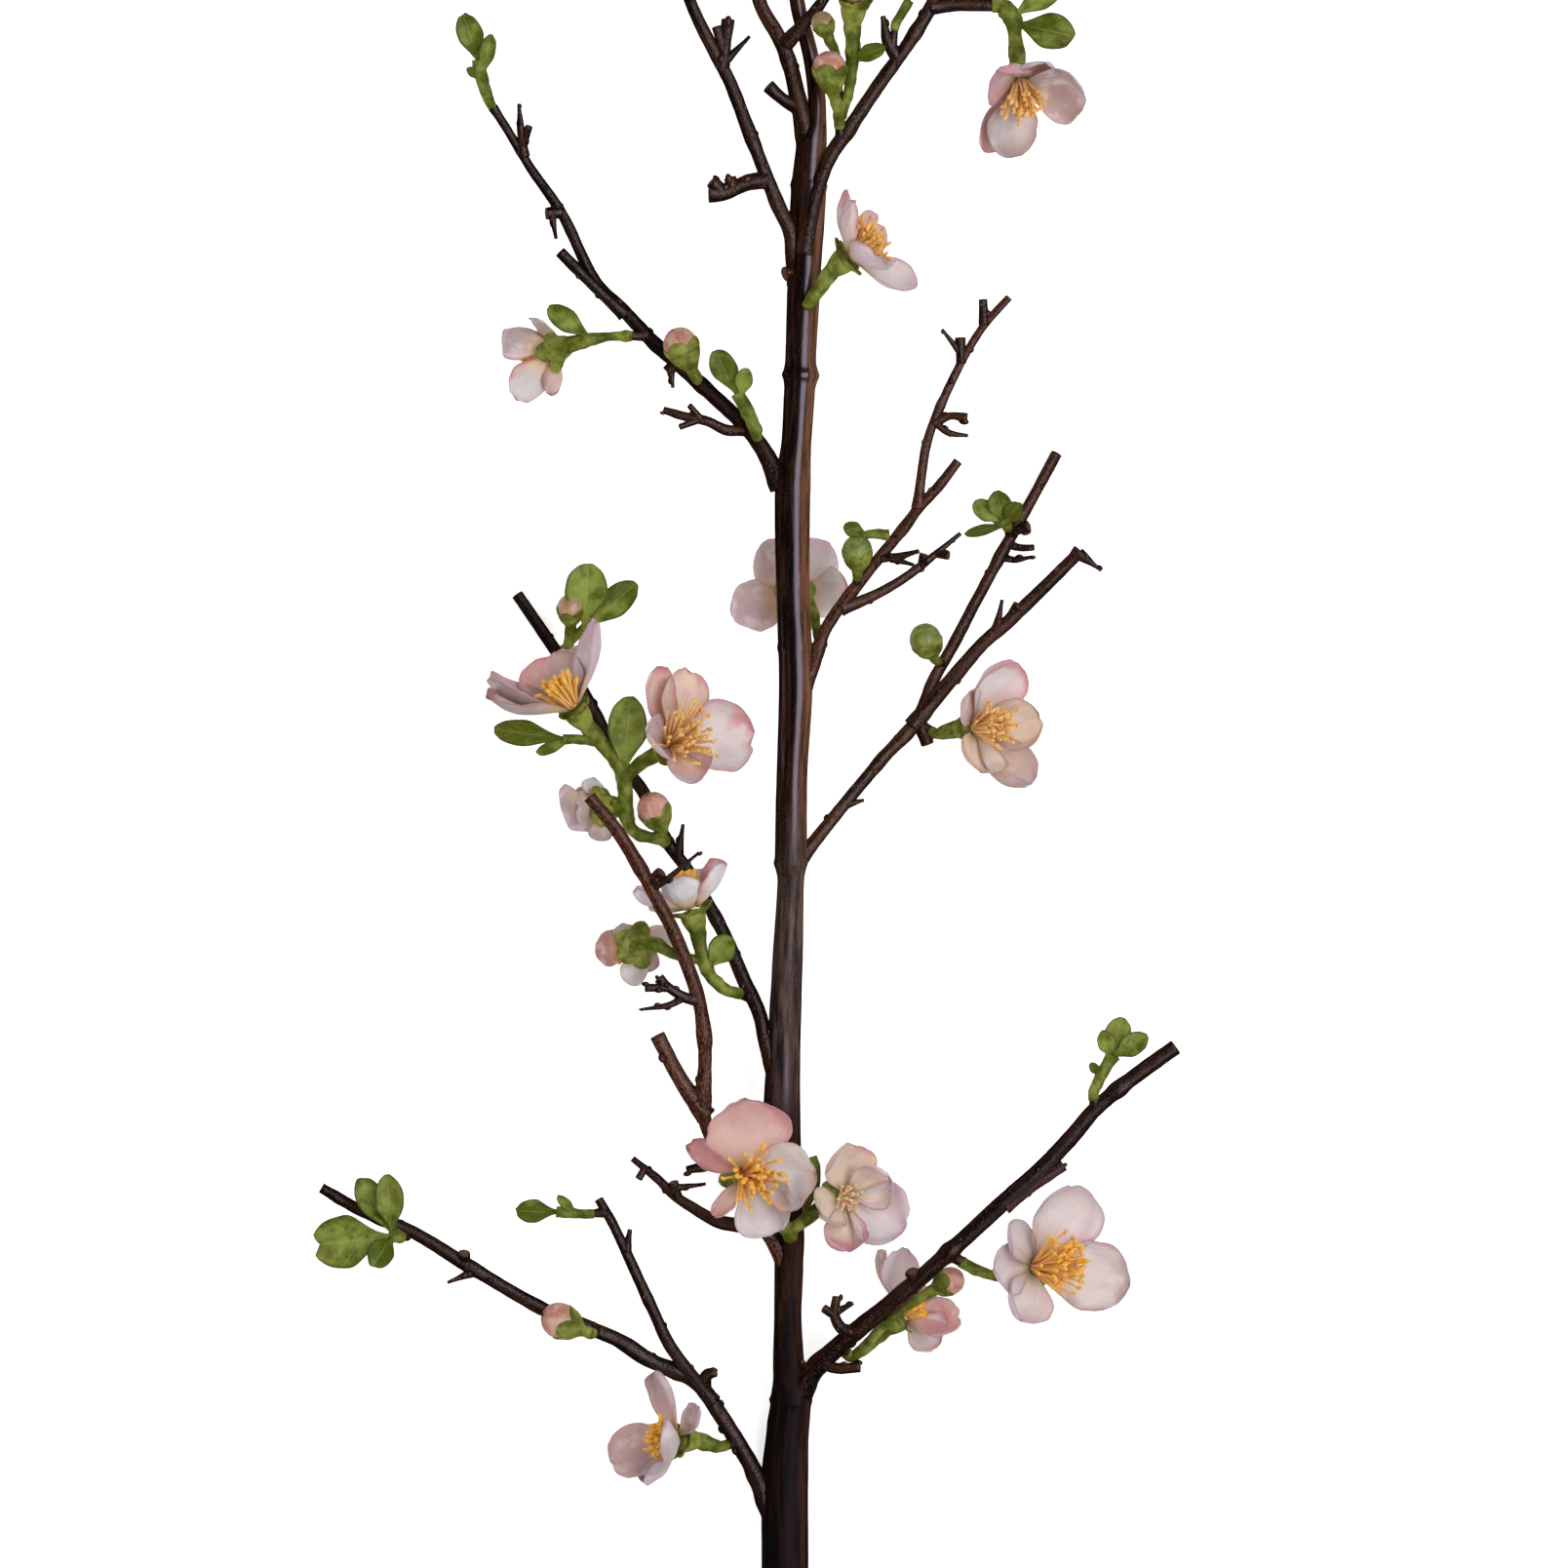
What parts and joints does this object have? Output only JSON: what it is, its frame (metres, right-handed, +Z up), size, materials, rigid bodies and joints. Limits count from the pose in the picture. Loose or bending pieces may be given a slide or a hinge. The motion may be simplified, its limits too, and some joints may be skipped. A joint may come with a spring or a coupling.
{
  "type": "flowering branch",
  "caption": "Cut quince branch lying down, with dark forking wood, pale pink cupped blossoms, round buds and young green leaves.",
  "frame": {"origin": "bottom centre of the bounding box, on the surface the branch lies on", "axes": "+Y along the stem from its thick cut end to its tip, +X to the right as seen from above, +Z up"},
  "size_m": [0.2647, 0.5545, 0.0577],
  "materials": {
    "bark": "dark smooth bark, slightly glossy",
    "petal": "thin soft petal, matte with a faint sheen",
    "stamen": "matte, powdery",
    "leaf": "thin leaf, slightly glossy",
    "bud": "folded petals, satin"
  },
  "bodies": {
    "root": {"branch_wood": "bark", "bud_01": "bud", "bud_02": "bud", "bud_04": "bud", "bud_07": "bud", "leaf_sprig_01": "leaf", "leaf_sprig_02": "leaf", "leaf_sprig_09": "leaf", "leaf_sprig_10": "leaf", "leaf_sprig_11": "leaf", "petals_01": "petal", "petals_02": "petal", "petals_03": "petal", "petals_04": "petal", "petals_05": "petal", "petals_06": "petal", "petals_07": "petal", "petals_08": "petal", "petals_09": "petal", "petals_10": "petal", "petals_11": "petal", "petals_12": "petal", "petals_13": "petal", "petals_14": "petal", "petals_15": "petal", "petals_16": "petal", "sprig_01": "leaf", "sprig_02": "leaf", "sprig_03": "leaf", "sprig_04": "leaf", "sprig_05_06_07": "leaf", "sprig_08_09": "leaf", "sprig_10_11": "leaf", "sprig_12": "leaf", "sprig_13": "leaf", "sprig_14": "leaf", "sprig_15": "leaf", "sprig_bud_01": "leaf", "sprig_bud_03": "leaf", "sprig_bud_05": "leaf", "sprig_bud_06": "leaf", "sprig_bud_07": "leaf", "sprig_bud_10": "leaf", "sprig_top": "leaf", "sprig_top_right": "leaf", "stamens_01": "stamen", "stamens_02": "stamen", "stamens_03": "stamen", "stamens_04": "stamen", "stamens_05": "stamen", "stamens_06": "stamen", "stamens_07": "stamen", "stamens_08": "stamen", "stamens_09": "stamen", "stamens_10": "stamen", "stamens_11": "stamen", "stamens_12": "stamen", "stamens_13": "stamen", "stamens_14": "stamen", "stamens_15": "stamen"}
  },
  "joints": []
}
